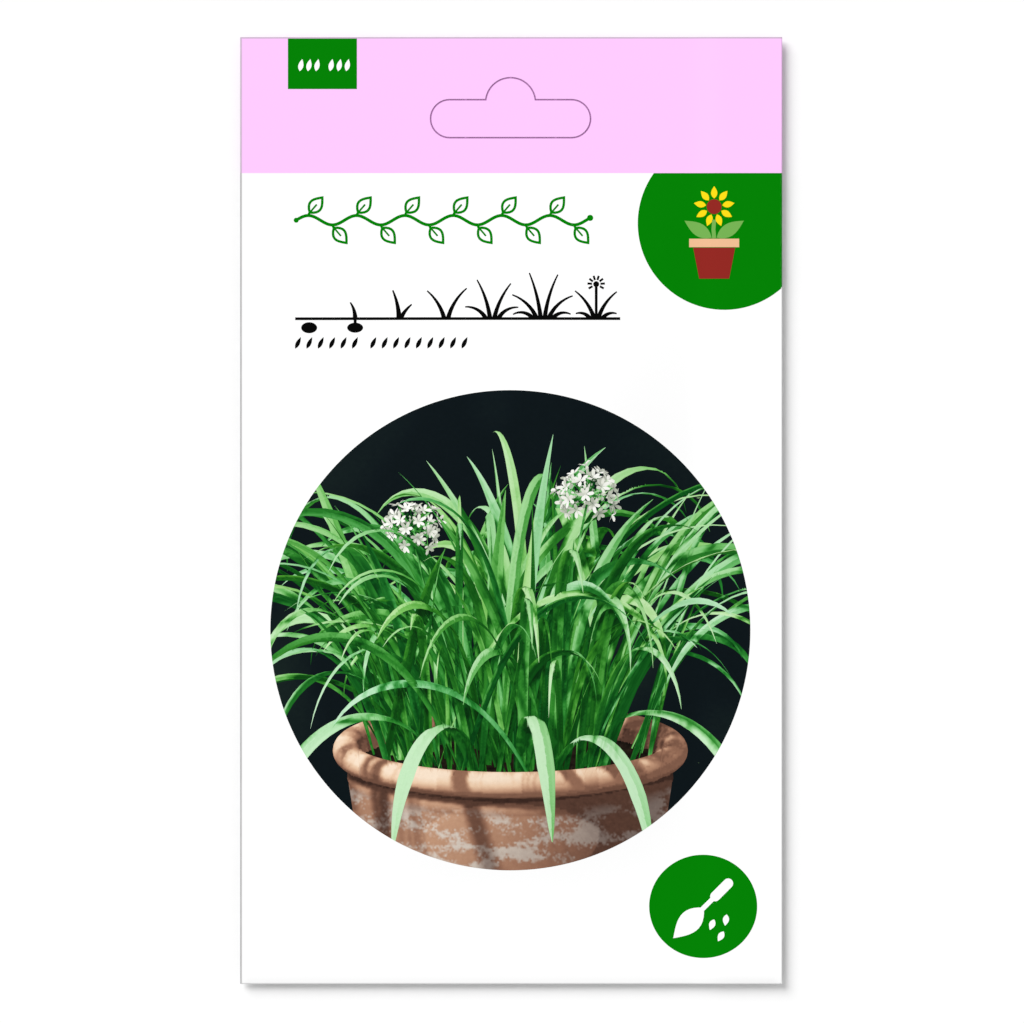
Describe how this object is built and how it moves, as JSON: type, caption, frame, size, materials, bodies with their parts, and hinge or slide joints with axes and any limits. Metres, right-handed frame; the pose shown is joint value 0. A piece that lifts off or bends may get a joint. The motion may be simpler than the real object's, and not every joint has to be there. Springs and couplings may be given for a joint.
{
  "type": "seed packet",
  "caption": "Flat folded paper seed packet with a die-cut hang slot in its coloured header, a softly bulging pouch, and an inner sachet of seeds, lying on its back.",
  "frame": {"origin": "bottom centre of the part's box: on the surface that the packet lies on, under the middle of the sheet", "axes": "+X to the right across the printed front, +Y up the front towards the header and its hang slot, +Z out of the front face, away from the surface"},
  "size_m": [0.1084, 0.1894, 0.004],
  "materials": {
    "printed_paper": "smooth coated white paper, printed on its outside",
    "glue": "dried hot-melt glue line",
    "sachet_film": "satin heat-sealed barrier film",
    "seed_coat": "dry, black, wrinkled seed coat"
  },
  "bodies": {
    "root": {"packet_sheet": "printed_paper", "side_seam_glue": "glue", "header_glue": "glue", "bottom_flap_glue": "glue", "sachet_back_film": "sachet_film", "sachet_front_film": "sachet_film", "seeds": "seed_coat"}
  },
  "joints": []
}
